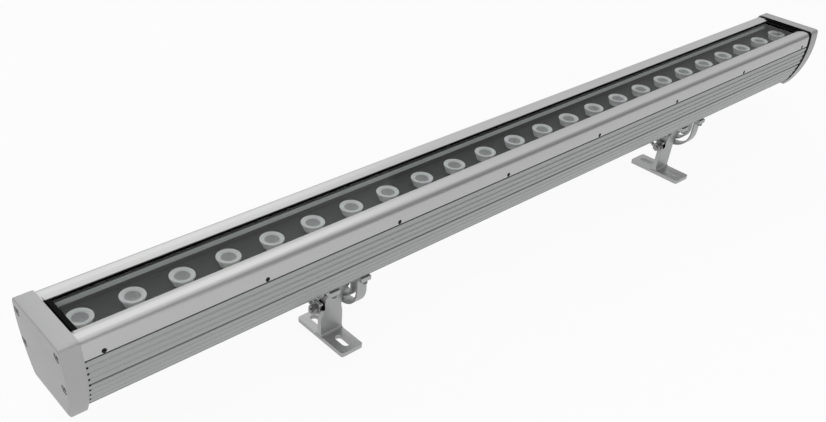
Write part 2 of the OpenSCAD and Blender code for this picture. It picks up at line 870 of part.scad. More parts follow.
module slot_cut(y) {
    translate([0, y - slot_len / 2 + slot_w / 2, 0])
        rod_z(-overrun, foot_thick + overrun, slot_w / 2);
    translate([0, y + slot_len / 2 - slot_w / 2, 0])
        rod_z(-overrun, foot_thick + overrun, slot_w / 2);
    translate([-slot_w / 2, y - slot_len / 2 + slot_w / 2, -overrun])
        cube([slot_w, slot_len - slot_w, foot_thick + 2 * overrun]);
}

module foot_plate() {
    translate([-foot_w / 2 + foot_corner_r, -foot_len / 2, 0])
        cube([foot_w - 2 * foot_corner_r, foot_len, foot_thick]);
    translate([-foot_w / 2, -foot_len / 2 + foot_corner_r, 0])
        cube([foot_w, foot_len - 2 * foot_corner_r, foot_thick]);
    for (sx = [-1, 1])
        for (sy = [-1, 1])
            translate([sx * (foot_w / 2 - foot_corner_r), sy * (foot_len / 2 - foot_corner_r), 0])
                rod_z(0, foot_thick, foot_corner_r);
}

module foot_web() {
    translate([0, web_thick / 2, 0])
        rotate([90, 0, 0])
            linear_extrude(height = web_thick)
                polygon([[-foot_w / 2, foot_thick / 2], [foot_w / 2, foot_thick / 2],
                    [foot_w / 2, shoulder_low_z], [knuckle_half_x, shoulder_z],
                    [-knuckle_half_x, shoulder_z], [-foot_w / 2, shoulder_low_z]]);
}

module foot_knuckle() {
    along_x(-knuckle_half_x, knuckle_half_x) {
        translate([0, pivot_z])
            circle(r = knuckle_r, $fn = round_facets);
        polygon([[-web_thick / 2, shoulder_low_z], [web_thick / 2, shoulder_low_z],
            [knuckle_half_y, knuckle_low_z], [knuckle_half_y, pivot_z],
            [-knuckle_half_y, pivot_z], [-knuckle_half_y, knuckle_low_z]]);
    }
}

module foot() {
    color([0.7, 0.71, 0.71])
        difference() {
            union() {
                foot_plate();
                foot_web();
                foot_knuckle();
            }
            slot_cut(slot_y);
            slot_cut(-slot_y);
            translate([0, 0, pivot_z])
                rod_x(-ear_in_x, ear_in_x, pivot_r + seat_gap);
            translate([0, 0, lock_z])
                rod_x(-ear_in_x, ear_in_x, lock_r + seat_gap);
        }
}

// Saddle

module half_ring(r_out, r_in) {
    intersection() {
        difference() {
            translate([0, pivot_z])
                circle(r = r_out, $fn = round_facets);
            translate([0, pivot_z])
                circle(r = r_in, $fn = round_facets);
        }
        translate([-r_out, pivot_z - r_out])
            square([2 * r_out, r_out]);
    }
    for (s = [-1, 1])
        translate([s * (r_out + r_in) / 2 - (r_out - r_in) / 2, pivot_z])
            square([r_out - r_in, flange_low_z - pivot_z + overrun]);
}

module ear_section() {
    half_ring(ear_r, ear_in_r);
    half_ring(guide_r, guide_in_r);
}

module lug_section() {
    difference() {
        union() {
            translate([0, pivot_z])
                circle(r = lug_half_w, $fn = round_facets);
            translate([-lug_half_w, pivot_z])
                square([2 * lug_half_w, flange_low_z - pivot_z + overrun]);
        }
        translate([0, pivot_z])
            circle(r = pivot_r + fit_gap, $fn = round_facets);
    }
}

module saddle() {
    color([0.68, 0.69, 0.69])
        difference() {
            union() {
                translate([-ear_out_x, -flange_mid_y, flange_low_z])
                    cube([2 * ear_out_x, 2 * flange_mid_y, flange_thick]);
                for (x = [-ear_out_x, ear_in_x])
                    translate([x, -flange_half_y, flange_low_z])
                        cube([ear_w, 2 * flange_half_y, flange_thick]);
                along_x(ear_in_x, ear_out_x)
                    ear_section();
                along_x(ear_in_x, lug_out_x)
                    lug_section();
                along_x(-nut_x, -ear_in_x) {
                    intersection() {
                        ear_section();
                        translate([-open_ear_y, 0])
                            square([2 * ear_r, total_height]);
                    }
                    lug_section();
                }
            }
            for (s = [-1, 1])
                translate([s * slide_screw_x, 0, 0]) {
                    rod_z(flange_low_z - overrun, flange_top_z + overrun, slide_screw_r + seat_gap);
                    translate([0, 0, flange_low_z])
                        cylinder(h = slide_head_h, r1 = slide_head_r + seat_gap, r2 = slide_screw_r + seat_gap,
                            $fn = round_facets);
                }
            for (sx = [-1, 1])
                for (sy = [-1, 1])
                    translate([sx * clamp_x, sy * clamp_y, 0])
                        rod_z(flange_low_z - overrun, flange_top_z + overrun, m3_r);
        }
}

// Bracket hardware

module hex_bolt(head_r, washer_r, r) {
    rod_x(lug_out_x, lug_out_x + bolt_washer_h, washer_r);
    hex_x(lug_out_x + bolt_washer_h / 2, lug_out_x + bolt_washer_h + bolt_head_h, head_r);
    rod_x(-bolt_end_x, lug_out_x + bolt_washer_h, r);
}

module hex_nut(head_r, washer_r, r) {
    difference() {
        union() {
            rod_x(-nut_x - bolt_washer_h, -nut_x, washer_r);
            hex_x(-nut_x - bolt_washer_h - nut_h, -nut_x - bolt_washer_h / 2, head_r);
        }
        rod_x(-nut_x - bolt_washer_h - nut_h - overrun, -nut_x + overrun, r);
    }
}

module pivot_bolt() {
    color([0.42, 0.42, 0.43])
        translate([0, 0, pivot_z])
            hex_bolt(pivot_head_r, pivot_washer_r, pivot_r);
}

module pivot_nut() {
    color([0.36, 0.36, 0.37])
        translate([0, 0, pivot_z])
            hex_nut(pivot_head_r, pivot_washer_r, pivot_r);
}

module lock_bolt() {
    color([0.42, 0.42, 0.43])
        translate([0, 0, lock_z]) {
            rod_x(knuckle_half_x, knuckle_half_x + washer_thick, lock_head_r);
            rod_x(-bolt_end_x, knuckle_half_x + washer_thick / 2, lock_r);
        }
}

module lock_nut() {
    color([0.36, 0.36, 0.37])
        translate([0, 0, lock_z])
            hex_nut(lock_head_r, lock_washer_r, lock_r);
}

module washer_ring(x0, r_out, r_in) {
    difference() {
        rod_x(x0, x0 + washer_thick, r_out);
        rod_x(x0 - overrun, x0 + washer_thick + overrun, r_in);
    }
}

module friction_washers() {
    color([0.1, 0.1, 0.1]) {
        for (x0 = [knuckle_half_x, -knuckle_half_x - washer_thick])
            translate([0, 0, pivot_z])
                washer_ring(x0, friction_pivot_r, pivot_r + seat_gap);
        translate([0, 0, lock_z])
            washer_ring(-knuckle_half_x - washer_thick, friction_lock_r, lock_r + seat_gap);
    }
}

module slide_nut() {
    color([0.5, 0.5, 0.5])
        difference() {
            translate([-slide_nut_len / 2, -slide_in_w / 2 + fit_gap, flange_top_z + slide_lip + seat_gap])
                cube([slide_nut_len, slide_in_w - 2 * fit_gap, slide_nut_h]);
            for (s = [-1, 1])
                translate([s * slide_screw_x, 0, 0])
                    rod_z(flange_top_z, total_height, slide_screw_r);
        }
}

module slide_screws() {
    color([0.45, 0.45, 0.46])
        for (s = [-1, 1])
            translate([s * slide_screw_x, 0, 0]) {
                rod_z(flange_low_z, flange_top_z + slide_lip + slide_nut_h, slide_screw_r);
                translate([0, 0, flange_low_z])
                    cylinder(h = slide_head_h, r1 = slide_head_r, r2 = slide_screw_r, $fn = round_facets);
            }
}

module clamp_screws() {
    color([0.3, 0.3, 0.31])
        for (sx = [-1, 1])
            for (sy = [-1, 1])
                translate([sx * clamp_x, sy * clamp_y, 0]) {
                    rod_z(flange_low_z - clamp_head_h / 2, flange_top_z - seat_gap, m3_r);
                    translate([0, 0, flange_low_z - clamp_head_h])
                        cylinder(h = clamp_head_h, r = clamp_head_r, $fn = 6);
                }
}

module at_left() {
    translate([left_x, 0, 0])
        children();
}

module at_right() {
    translate([right_x, 0, 0])
        children();
}

housing();
front_rail();
rear_rail();
front_rail_screws();
rear_rail_screws();
glass();
glass_gasket();
end_cap_left();
end_cap_right();
end_gasket_left();
end_gasket_right();
cap_screws_left();
cap_screws_right();
led_board();
board_screws();
led_emitters();
lenses();
lens_plate();
driver_board();
driver_transformer();
driver_capacitors();
driver_heat_sink();
terminal_block();
supply_wires();
lamp_wires();
gland_body();
gland_seal();
gland_nut();
at_left() foot();  // foot_left
at_left() saddle();  // saddle_left
at_left() pivot_bolt();  // pivot_bolt_left
at_left() pivot_nut();  // pivot_nut_left
at_left() lock_bolt();  // lock_bolt_left
at_left() lock_nut();  // lock_nut_left
at_left() friction_washers();  // friction_washers_left
at_left() slide_nut();  // slide_nut_left
at_left() slide_screws();  // slide_screws_left
at_left() clamp_screws();  // clamp_screws_left
at_right() foot();  // foot_right
at_right() saddle();  // saddle_right
at_right() pivot_bolt();  // pivot_bolt_right
at_right() pivot_nut();  // pivot_nut_right
at_right() lock_bolt();  // lock_bolt_right
at_right() lock_nut();  // lock_nut_right
at_right() friction_washers();  // friction_washers_right
at_right() slide_nut();  // slide_nut_right
at_right() slide_screws();  // slide_screws_right
at_right() clamp_screws();  // clamp_screws_right
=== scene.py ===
"""Outdoor wall washer light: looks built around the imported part, in metres, in the same frame.

Sizes are in mm and turn into metres at the vertices. X runs along the lamp and Z is up. A width is
measured from the middle plane, and a depth from the lamp's top down, so z = TOTAL_H - depth.
"""

import math

import bmesh
import bpy
from mathutils import Matrix, Vector


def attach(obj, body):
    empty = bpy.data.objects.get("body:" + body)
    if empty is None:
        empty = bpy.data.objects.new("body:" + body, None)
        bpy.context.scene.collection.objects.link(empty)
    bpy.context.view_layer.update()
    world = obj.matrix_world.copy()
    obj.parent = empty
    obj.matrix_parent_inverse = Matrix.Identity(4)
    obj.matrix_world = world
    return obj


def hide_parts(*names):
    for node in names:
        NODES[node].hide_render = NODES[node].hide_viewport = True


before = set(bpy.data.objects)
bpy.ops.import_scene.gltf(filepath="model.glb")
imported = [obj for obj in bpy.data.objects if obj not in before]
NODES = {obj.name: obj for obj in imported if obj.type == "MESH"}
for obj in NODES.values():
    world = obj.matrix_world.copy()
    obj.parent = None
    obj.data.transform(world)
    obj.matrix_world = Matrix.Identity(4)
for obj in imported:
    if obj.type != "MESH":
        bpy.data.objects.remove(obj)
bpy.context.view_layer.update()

MM = 0.001
TINY = 1e-6

# Places along the lamp and the height of its pivots
TOTAL_H = 136.3
LAMP_X = -11.0
CAP_OUT = 488.25
CAP_THICK = 15.0
CABLE_GAP = 4.0
BODY_END = CAP_OUT - CAP_THICK
LEFT_END = LAMP_X - BODY_END
RIGHT_END = LAMP_X + BODY_END
FEET_MID = LAMP_X + 15.6
FEET_HALF = 253.35
LEFT_X = FEET_MID - FEET_HALF
RIGHT_X = FEET_MID + FEET_HALF
PIVOT_Z = TOTAL_H - 82.0

# The lamp's section: bowed sides, a seam under the rails and grooves below it
SIDE_R = 96.0
SIDE_MID = 20.0
CAP_HALF = 37.7
BODY_HALF = 37.2
TOP_D = 0.8
BOTTOM_D = 64.8
BOTTOM_CORNER = 4.0
CORNER_STEPS = 10
SEAM_D = 16.7
SEAM_HALF = 0.5
SEAM_IN = 0.25
RAIL_EDGE = 0.75
SHELL_EDGE = 0.8
GROOVE_PITCH = 5.55
GROOVE_COUNT = 8
DEEP_GROOVE = 4
DEEP_SHAPE = (1.15, 1.9, 0.7)
FINE_SHAPE = (1.3, 0.6, 0.9)
GROOVE_STEP = 0.25


# Outlines

def mirror_loop(pts):
    """Closed loop of (y, z) from one side's (width, depth) points: down that side, up the other."""
    right = [(w, TOTAL_H - d) for w, d in pts]
    left = [(-w, z) for w, z in reversed(right) if w > TINY]
    return right + left


def circle(y, z, r, n):
    turns = [2 * math.pi * i / n for i in range(n)]
    return [(y + r * math.cos(a), z + r * math.sin(a)) for a in turns]


def arc_pts(y, z, r, a0, a1, n):
    """Points of an arc between two angles in degrees, both ends included."""
    turns = [math.radians(a0 + (a1 - a0) * i / n) for i in range(n + 1)]
    return [(y + r * math.cos(a), z + r * math.sin(a)) for a in turns]


def side_w(d, half):
    """Width of the bowed side at a depth."""
    return half - SIDE_R + math.sqrt(SIDE_R ** 2 - (d - SIDE_MID) ** 2)


def corner_cut(t, r):
    """How much a rounded corner takes off the width at a distance from its flat."""
    return r - math.sqrt(max(r * r - (r - t) ** 2, 0.0)) if t < r else 0.0


def corner_rows(r):
    """Distances from the flat at which a rounded corner has its points."""
    return [r * (1 - math.cos(math.pi / 2 * i / CORNER_STEPS)) for i in range(CORNER_STEPS + 1)]


def round_top(top, half, r):
    return [(side_w(top + t, half) - corner_cut(t, r), top + t) for t in corner_rows(r)]


def round_bottom(bottom, half):
    rows = reversed(corner_rows(BOTTOM_CORNER))
    return [(side_w(bottom - t, half) - corner_cut(t, BOTTOM_CORNER), bottom - t) for t in rows]


def plain_side(a, b, half, n=16):
    """The side from below depth a down to depth b."""
    rows = [a + (b - a) * i / n for i in range(1, n + 1)]
    return [(side_w(d, half), d) for d in rows]


def groove(d):
    """How deep the lengthwise grooves cut into the side at a depth."""
    cut = 0.0
    for k in range(1, GROOVE_COUNT + 1):
        half_w, deep, power = DEEP_SHAPE if k == DEEP_GROOVE else FINE_SHAPE
        t = abs(d - (SEAM_D + GROOVE_PITCH * k)) / half_w
        if t < 1:
            cut = max(cut, deep * (0.5 + 0.5 * math.cos(math.pi * t)) ** power)
    return cut


def ribbed_side(a, b, half):
    n = int((b - a) / GROOVE_STEP)
    rows = [a + (b - a) * i / n for i in range(1, n)]
    return [(side_w(d, half) - groove(d), d) for d in rows]


# Solids

def band(bm, a, b):
    """Faces between two rings with the same number of vertices."""
    for i in range(len(a)):
        j = (i + 1) % len(a)
        bm.faces.new((a[i], a[j], b[j], b[i]))


def prism(bm, loops, x0, x1):
    """Solid between x0 and x1 from closed loops of (y, z): the outline first, then any hole."""
    ends = ([], [])
    for loop in loops:
        rings = [[bm.verts.new((x * MM, y * MM, z * MM)) for y, z in loop] for x in (x0, x1)]
        band(bm, *rings)
        for ring, edges in zip(rings, ends):
            edges += [bm.edges.get((v, ring[(i + 1) % len(ring)])) for i, v in enumerate(ring)]
    for edges in ends:
        if len(loops) == 1:
            # in edge order, which leaves an open sliver at the far end
            bm.faces.new(list(dict.fromkeys(v for e in edges for v in e.verts)))
        else:
            bmesh.ops.triangle_fill(bm, use_beauty=True, use_dissolve=False, edges=edges)


def slab(bm, pts, z0, z1):
    """Upright solid between two levels from an outline of (x, y)."""
    low, high = [[bm.verts.new((x * MM, y * MM, z * MM)) for x, y in pts] for z in (z0, z1)]
    band(bm, low, high)
    bm.faces.new(low)
    bm.faces.new(high)


def block(bm, lo, hi):
    corners = [(x, y, z) for x in (lo[0], hi[0]) for y in (lo[1], hi[1]) for z in (lo[2], hi[2])]
    v = [bm.verts.new([q * MM for q in c]) for c in corners]
    sides = ((0, 1, 3, 2), (4, 6, 7, 5), (0, 4, 5, 1), (2, 3, 7, 6), (0, 2, 6, 4), (1, 5, 7, 3))
    for side in sides:
        bm.faces.new([v[i] for i in side])


def turned_ring(bm, axis, centre, r, pos, n):
    """Ring about an axis through a centre, or its one vertex where the radius is 0."""
    ring = []
    for i in range(n if r > TINY else 1):
        a = 2 * math.pi * i / n
        u, v = centre[0] + math.cos(a) * r, centre[1] + math.sin(a) * r
        p = {"x": (pos, u, v), "y": (u, pos, v), "z": (u, v, pos)}[axis]
        ring.append(bm.verts.new([q * MM for q in p]))
    return ring


def rod(bm, axis, centre, a, b, r, n=32):
    """Cylinder along an axis from a to b."""
    start, end = [turned_ring(bm, axis, centre, r, pos, n) for pos in (a, b)]
    band(bm, start, end)
    bm.faces.new(start)
    bm.faces.new(end)


def lathe(bm, x, profile, n=40):
    """Turns (radius, z) points about the upright line at x; the first and last lie on it."""
    rings = [turned_ring(bm, "z", (x, 0.0), r, z, n) for r, z in profile]
    for a, b in zip(rings, rings[1:]):
        if len(a) == len(b):
            band(bm, a, b)
            continue
        for i in range(n):
            j = (i + 1) % n
            bm.faces.new((a[0], b[j], b[i]) if len(a) == 1 else (a[i], a[j], b[0]))


# Pieces

def finish_mesh(name, bm, material, body, sharp=32.0):
    """Makes a piece of a body, smooth except where faces meet past the sharp angle."""
    bmesh.ops.remove_doubles(bm, verts=bm.verts, dist=1e-7)
    bmesh.ops.recalc_face_normals(bm, faces=bm.faces)
    limit = math.radians(sharp)
    for f in bm.faces:
        f.smooth = True
    for e in bm.edges:
        e.smooth = len(e.link_faces) == 2 and e.calc_face_angle(0.0) < limit
    me = bpy.data.meshes.new(name)
    bm.to_mesh(me)
    bm.free()
    me.materials.append(material)
    obj = bpy.data.objects.new(name, me)
    bpy.context.scene.collection.objects.link(obj)
    if body:
        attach(obj, body)
    return obj


def apply_modifiers(obj):
    dg = bpy.context.evaluated_depsgraph_get()
    me = bpy.data.meshes.new_from_object(obj.evaluated_get(dg), depsgraph=dg)
    old = obj.data
    obj.modifiers.clear()
    obj.data = me
    bpy.data.meshes.remove(old)


def cut_with(obj, draw, operation="DIFFERENCE"):
    """Takes the solids that draw makes out of obj, or adds them to it."""
    bm = bmesh.new()
    draw(bm)
    bmesh.ops.recalc_face_normals(bm, faces=bm.faces)
    me = bpy.data.meshes.new("cutter")
    bm.to_mesh(me)
    bm.free()
    tool = bpy.data.objects.new("cutter", me)
    bpy.context.scene.collection.objects.link(tool)
    mod = obj.modifiers.new("cut", "BOOLEAN")
    mod.operation = operation
    mod.solver = "EXACT"
    mod.object = tool
    bpy.context.view_layer.update()
    apply_modifiers(obj)
    bpy.data.objects.remove(tool)
    bpy.data.meshes.remove(me)


def shade(obj, angle):
    """Smooth shading with sharp edges past an angle in degrees."""
    for f in obj.data.polygons:
        f.use_smooth = True
    obj.data.set_sharp_from_angle(angle=math.radians(angle))


def bevel(obj, width, segments, angle):
    mod = obj.modifiers.new("edges", "BEVEL")
    mod.width = width * MM
    mod.segments = segments
    mod.limit_method = "ANGLE"
    mod.angle_limit = math.radians(angle)
    mod.use_clamp_overlap = True
    mod.harden_normals = True


# Shader nodes

def add(nt, kind, **values):
    n = nt.nodes.new(kind)
    for k, v in values.items():
        setattr(n, k, v)
    return n


def new_material(name):
    """Material with a Principled shader on its output."""
    m = bpy.data.materials.new(name)
    m.use_nodes = True
    nt = m.node_tree
    nt.nodes.clear()
    out = add(nt, "ShaderNodeOutputMaterial")
    bsdf = add(nt, "ShaderNodeBsdfPrincipled")
    nt.links.new(bsdf.outputs[0], out.inputs[0])
    return m, nt, bsdf, out


def object_place(nt):
    return add(nt, "ShaderNodeTexCoord").outputs["Object"]


def noise(nt, place, scale, detail=None):
    n = add(nt, "ShaderNodeTexNoise")
    n.inputs["Scale"].default_value = scale
    if detail is not None:
        n.inputs["Detail"].default_value = detail
    nt.links.new(place, n.inputs["Vector"])
    return n.outputs["Fac"]


def remap(nt, source, low, high, start=0.0, end=1.0, curve="LINEAR"):
    """Takes the span from start to end of a value to the span from low to high."""
    n = add(nt, "ShaderNodeMapRange", interpolation_type=curve)
    for name, v in (("From Min", start), ("From Max", end), ("To Min", low), ("To Max", high)):
        n.inputs[name].default_value = v
    nt.links.new(source, n.inputs["Value"])
    return n.outputs[0]


def combine(nt, operation, a, b):
    """Math node on two inputs, each a socket or a number; a sum stays within 0 and 1."""
    n = add(nt, "ShaderNodeMath", operation=operation, use_clamp=operation == "ADD")
    for k, v in enumerate((a, b)):
        if isinstance(v, float):
            n.inputs[k].default_value = v
        else:
            nt.links.new(v, n.inputs[k])
    return n.outputs[0]


def mix_shaders(nt, share, a, b, out=None):
    """Mixes shader a with a share of shader b, and feeds an output node if one is given."""
    n = add(nt, "ShaderNodeMixShader")
    nt.links.new(share, n.inputs["Fac"])
    nt.links.new(a.outputs[0], n.inputs[1])
    nt.links.new(b.outputs[0], n.inputs[2])
    if out is not None:
        nt.links.new(n.outputs[0], out.inputs[0])
    return n


def light_rays(nt):
    """Sockets that are 1 for rays of the camera, and for mirrored or let-through rays."""
    path = add(nt, "ShaderNodeLightPath")
    bounced = combine(nt, "ADD", path.outputs["Is Glossy Ray"], path.outputs["Is Transmission Ray"])
    return path.outputs["Is Camera Ray"], bounced


# Materials

def surface(name, color, rough, metallic=0.0, grain=900.0, grain_amount=0.04, bump=0.02,
            bump_dist=0.00005, rough_amount=0.08, stain=0.03, stain_scale=9.0, spec=0.5):
    """A procedural finish at real scale: fine grain, broad tone and roughness changes, a bump.

    The grain is one scale, or one for each axis, so that a brushed finish runs along X.
    """
    m, nt, bsdf, _ = new_material(name)
    link = nt.links.new
    place = object_place(nt)
    spread = add(nt, "ShaderNodeMapping")
    spread.inputs["Scale"].default_value = grain if isinstance(grain, tuple) else (grain,) * 3
    link(place, spread.inputs["Vector"])
    fine = noise(nt, spread.outputs[0], 1.0, 3.0)
    broad = noise(nt, place, stain_scale, 4.0)
    ramp = add(nt, "ShaderNodeMix", data_type="RGBA")
    ramp.inputs["A"].default_value = [c * (1 - grain_amount) for c in color] + [1.0]
    ramp.inputs["B"].default_value = [min(c * (1 + grain_amount), 1.0) for c in color] + [1.0]
    link(fine, ramp.inputs["Factor"])
    tinted = add(nt, "ShaderNodeVectorMath", operation="SCALE")
    link(ramp.outputs["Result"], tinted.inputs[0])
    link(remap(nt, broad, 1.0 - stain, 1.0 + stain, 0.3, 0.7), tinted.inputs["Scale"])
    link(tinted.outputs[0], bsdf.inputs["Base Color"])
    least, most = max(rough - rough_amount, 0.02), min(rough + rough_amount, 1.0)
    link(remap(nt, fine, least, most), bsdf.inputs["Roughness"])
    bsdf.inputs["Metallic"].default_value = metallic
    bsdf.inputs["Specular IOR Level"].default_value = spec
    relief = add(nt, "ShaderNodeBump")
    relief.inputs["Strength"].default_value = bump
    relief.inputs["Distance"].default_value = bump_dist
    link(fine, relief.inputs["Height"])
    link(relief.outputs[0], bsdf.inputs["Normal"])
    return m


def clear_pane(name, tint, reflect):
    """Thin clear glass, whose front mirrors more at a glancing angle."""
    m, nt, bsdf, out = new_material(name)
    nt.nodes.remove(bsdf)
    see = add(nt, "ShaderNodeBsdfTransparent")
    see.inputs["Color"].default_value = (*tint, 1.0)
    gloss = add(nt, "ShaderNodeBsdfGlossy")
    gloss.inputs["Color"].default_value = (reflect, reflect, reflect, 1.0)
    rough = remap(nt, noise(nt, object_place(nt), 6.0), 0.02, 0.06)
    nt.links.new(rough, gloss.inputs["Roughness"])
    glance = add(nt, "ShaderNodeFresnel")
    glance.inputs["IOR"].default_value = 1.45
    behind = add(nt, "ShaderNodeNewGeometry").outputs["Backfacing"]
    front = combine(nt, "SUBTRACT", 1.0, behind)
    mix_shaders(nt, combine(nt, "MULTIPLY", glance.outputs[0], front), see, gloss, out)
    return m


def optic(name, least, most, tone):
    """Moulded clear optic: a milky see-through body with a glossy skin, between two opacities, and
    a faint glow that is painted light.
    """
    m, nt, bsdf, out = new_material(name)
    rough = remap(nt, noise(nt, object_place(nt), 180.0), 0.05, 0.12)
    nt.links.new(rough, bsdf.inputs["Roughness"])
    bsdf.inputs["Base Color"].default_value = (tone, tone + 0.005, tone + 0.01, 1.0)
    # the faint white glow is painted light: it stands in for light that the clear optic gathers and
    # sends out through its shaded sides
    bsdf.inputs["Emission Color"].default_value = (0.9, 0.92, 0.92, 1.0)
    bsdf.inputs["Emission Strength"].default_value = 0.08
    bsdf.inputs["IOR"].default_value = 1.49
    bsdf.inputs["Specular IOR Level"].default_value = 0.6
    see = add(nt, "ShaderNodeBsdfTransparent")
    see.inputs["Color"].default_value = (0.93, 0.93, 0.935, 1.0)
    rim = add(nt, "ShaderNodeLayerWeight")
    rim.inputs["Blend"].default_value = 0.35
    mix_shaders(nt, remap(nt, rim.outputs["Facing"], least, most), see, bsdf, out)
    return m


M = {
    # the large aluminium pieces
    "body": surface(
        "body_alu", (0.34, 0.35, 0.345), 0.42, metallic=0.75, grain=(12.0, 2600.0, 2600.0),
        grain_amount=0.05, bump=0.12, bump_dist=0.00004, stain=0.02, stain_scale=5.0),
    "rail": surface(
        "rail_alu", (0.46, 0.465, 0.46), 0.36, metallic=0.85, grain=(12.0, 2400.0, 2400.0),
        grain_amount=0.04, bump=0.1, bump_dist=0.00003, stain=0.02, stain_scale=5.0),
    "cap": surface(
        "cap_metal", (0.38, 0.38, 0.382), 0.46, metallic=0.7, grain=1500.0,
        grain_amount=0.05, bump=0.2, bump_dist=0.00004, stain=0.02, stain_scale=20.0),
    "bracket": surface(
        "bracket_alu", (0.40, 0.403, 0.403), 0.45, metallic=0.7, grain=(1100.0, 1100.0, 300.0),
        grain_amount=0.05, bump=0.15, bump_dist=0.00004, stain=0.03, stain_scale=35.0),
    # the channel wall: the body's aluminium, lighter and less metallic, as painted light on a wall
    # that stands in shade under the glass
    "channel_lit": surface(
        "channel_alu_painted_light", (0.62, 0.64, 0.63), 0.5, metallic=0.2, grain=(12.0, 2400.0, 2400.0),
        grain_amount=0.04, bump=0.1, bump_dist=0.00003),
    # the dark pieces
    "rubber": surface(
        "black_rubber", (0.005, 0.005, 0.0055), 0.75, grain=700.0, bump=0.1, spec=0.05),
    "plate": surface(
        "black_plate", (0.03, 0.031, 0.031), 0.6, grain=160.0, grain_amount=0.06, bump=0.02,
        rough_amount=0.04, spec=0.35),
    "dark_plastic": surface("dark_plastic", (0.03, 0.03, 0.032), 0.45, grain=600.0, bump=0.1),
    # the fasteners
    "steel": surface("steel", (0.45, 0.45, 0.46), 0.35, metallic=0.95),
    "bolt_steel": surface("bolt_steel", (0.26, 0.26, 0.265), 0.4, metallic=0.7),
    "dark_steel": surface("dark_steel", (0.14, 0.14, 0.145), 0.4, metallic=0.7),
    "black_screw": surface(
        "black_screw", (0.012, 0.012, 0.0125), 0.5, metallic=0.2, spec=0.2),
    # the inside
    "board": surface("led_board_mask", (0.02, 0.03, 0.025), 0.35, grain=500.0),
    "driver_board": surface("driver_mask", (0.02, 0.12, 0.05), 0.4, grain=500.0),
    "tape": surface("tape", (0.6, 0.42, 0.08), 0.5, grain=300.0),
    "sleeve": surface("sleeve", (0.03, 0.035, 0.1), 0.3, grain=400.0),
    "sink": surface("sink", (0.5, 0.5, 0.51), 0.4, metallic=0.85),
    "terminal": surface("terminal", (0.04, 0.22, 0.08), 0.45, grain=500.0),
    "wire": surface("wire", (0.3, 0.04, 0.03), 0.4, grain=500.0),
    "phosphor": surface("phosphor", (0.75, 0.6, 0.12), 0.35),
    # what light goes through
    "glass": clear_pane("pane", (0.955, 0.967, 0.962), 0.32),
    "lens": optic("optic", 0.46, 0.93, 0.72),
    # the recess of the optic: clearer than the rim, as its clear middle is, and darker in tone as
    # painted shade in the recess
    "lens_core_shaded": optic("optic_core_painted_shade", 0.12, 0.75, 0.58),
}


# Housing, rails and the rubber at the body's ends, which also stands in as painted shade

OPEN_W = 20.8
RAIL_BEVEL_W = 25.6
RAIL_BEVEL_D = 1.2
GASKET_HALF = 27.0
GASKET_TOP = TOP_D + 1.8
GLASS_TOP = GASKET_TOP + 0.8
GLASS_LOW = GLASS_TOP + 3.0
GASKET_LOW = GLASS_LOW + 0.8
RAIL_IN = BODY_HALF - 2.7
RAIL_CORNER = 4.6
FIT = 0.1
UPRIGHT_W = RAIL_IN - FIT
CHANNEL_W = OPEN_W - FIT
PLATE_LIP = 11.3
PLATE_TOP = 16.0
PLATE_LOW = 17.6
LEDGE_W = 1.3
LEDGE_H = 1.2
BOARD_TOP = 21.0
SHELF_TOP = 22.6
SHELF_LOW = 25.6
WALL = 2.8
CAVITY_D = 60.0
SLOT_MOUTH = (5.2, 2.3)
SLOT_ROOM = (8.2, 6.4)
SLOT_WALL = 2.0
RAIL_SCREW_D = 14.0
RAIL_SEAT = RAIL_IN + 1.2
RAIL_HOLE_R = 1.95
CUT_PAST = 2.0
LIP_LENGTH = 1.6
LIP_THICK = 2.2


def row(count, end_gap):
    """Places of an even row about the body's middle, whose ends keep a gap to the body's ends."""
    step = 2 * (BODY_END - end_gap) / (count - 1)
    return [step * (i - (count - 1) / 2) for i in range(count)]


SCREW_XS = row(8, 14.4)
LED_XS = [2.2 + x for x in row(24, 13.7)]


def build_housing():
    seat = (GASKET_HALF + FIT, GASKET_TOP + FIT)
    ledge_low, roof = PLATE_LOW + LEDGE_H, BOTTOM_D - SLOT_ROOM[1]
    mouth = BOTTOM_D - SLOT_MOUTH[1]
    outline = [(0.0, SHELF_TOP), (CHANNEL_W, SHELF_TOP), (CHANNEL_W, ledge_low),
               (CHANNEL_W - LEDGE_W, ledge_low), (CHANNEL_W - LEDGE_W, PLATE_LOW),
               (CHANNEL_W, PLATE_LOW), (CHANNEL_W, GASKET_LOW), (seat[0], GASKET_LOW), seat,
               (UPRIGHT_W, seat[1]), (UPRIGHT_W, SEAM_D + SEAM_HALF),
               (side_w(SEAM_D + SEAM_HALF, BODY_HALF) - SEAM_IN, SEAM_D + SEAM_HALF),
               (side_w(SEAM_D + RAIL_EDGE, BODY_HALF), SEAM_D + SHELL_EDGE)]
    outline += ribbed_side(SEAM_D + SHELL_EDGE, BOTTOM_D - BOTTOM_CORNER, BODY_HALF)
    outline += round_bottom(BOTTOM_D, BODY_HALF)
    outline += [(SLOT_MOUTH[0], BOTTOM_D), (SLOT_MOUTH[0], mouth), (SLOT_ROOM[0], mouth),
                (SLOT_ROOM[0], roof), (0.0, roof)]
    cavity = [(0.0, SHELF_LOW)]
    cavity += plain_side(SHELF_LOW - 1.4, CAVITY_D, BODY_HALF - WALL, 12)
    over_slot = SLOT_ROOM[0] + SLOT_WALL
    cavity += [(over_slot, CAVITY_D + SLOT_WALL), (over_slot, roof - SLOT_WALL),
               (0.0, roof - SLOT_WALL)]
    bm = bmesh.new()
    prism(bm, [mirror_loop(outline), mirror_loop(cavity)], LEFT_END, RIGHT_END)
    o = finish_mesh("housing_shell", bm, M["body"], "lamp")
    # the channel wall's faces take the lighter channel finish: painted light, since the wall stands
    # in shade under the glass
    o.data.materials.append(M["channel_lit"])
    for f in o.data.polygons:
        w, d = abs(f.center.y) / MM, TOTAL_H - f.center.z / MM
        lit_channel_face = w < CHANNEL_W + 0.3 and GASKET_LOW - FIT < d < SHELF_TOP + FIT
        if lit_channel_face and abs(f.normal.x) < 0.5:
            f.material_index = 1
    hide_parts("housing")


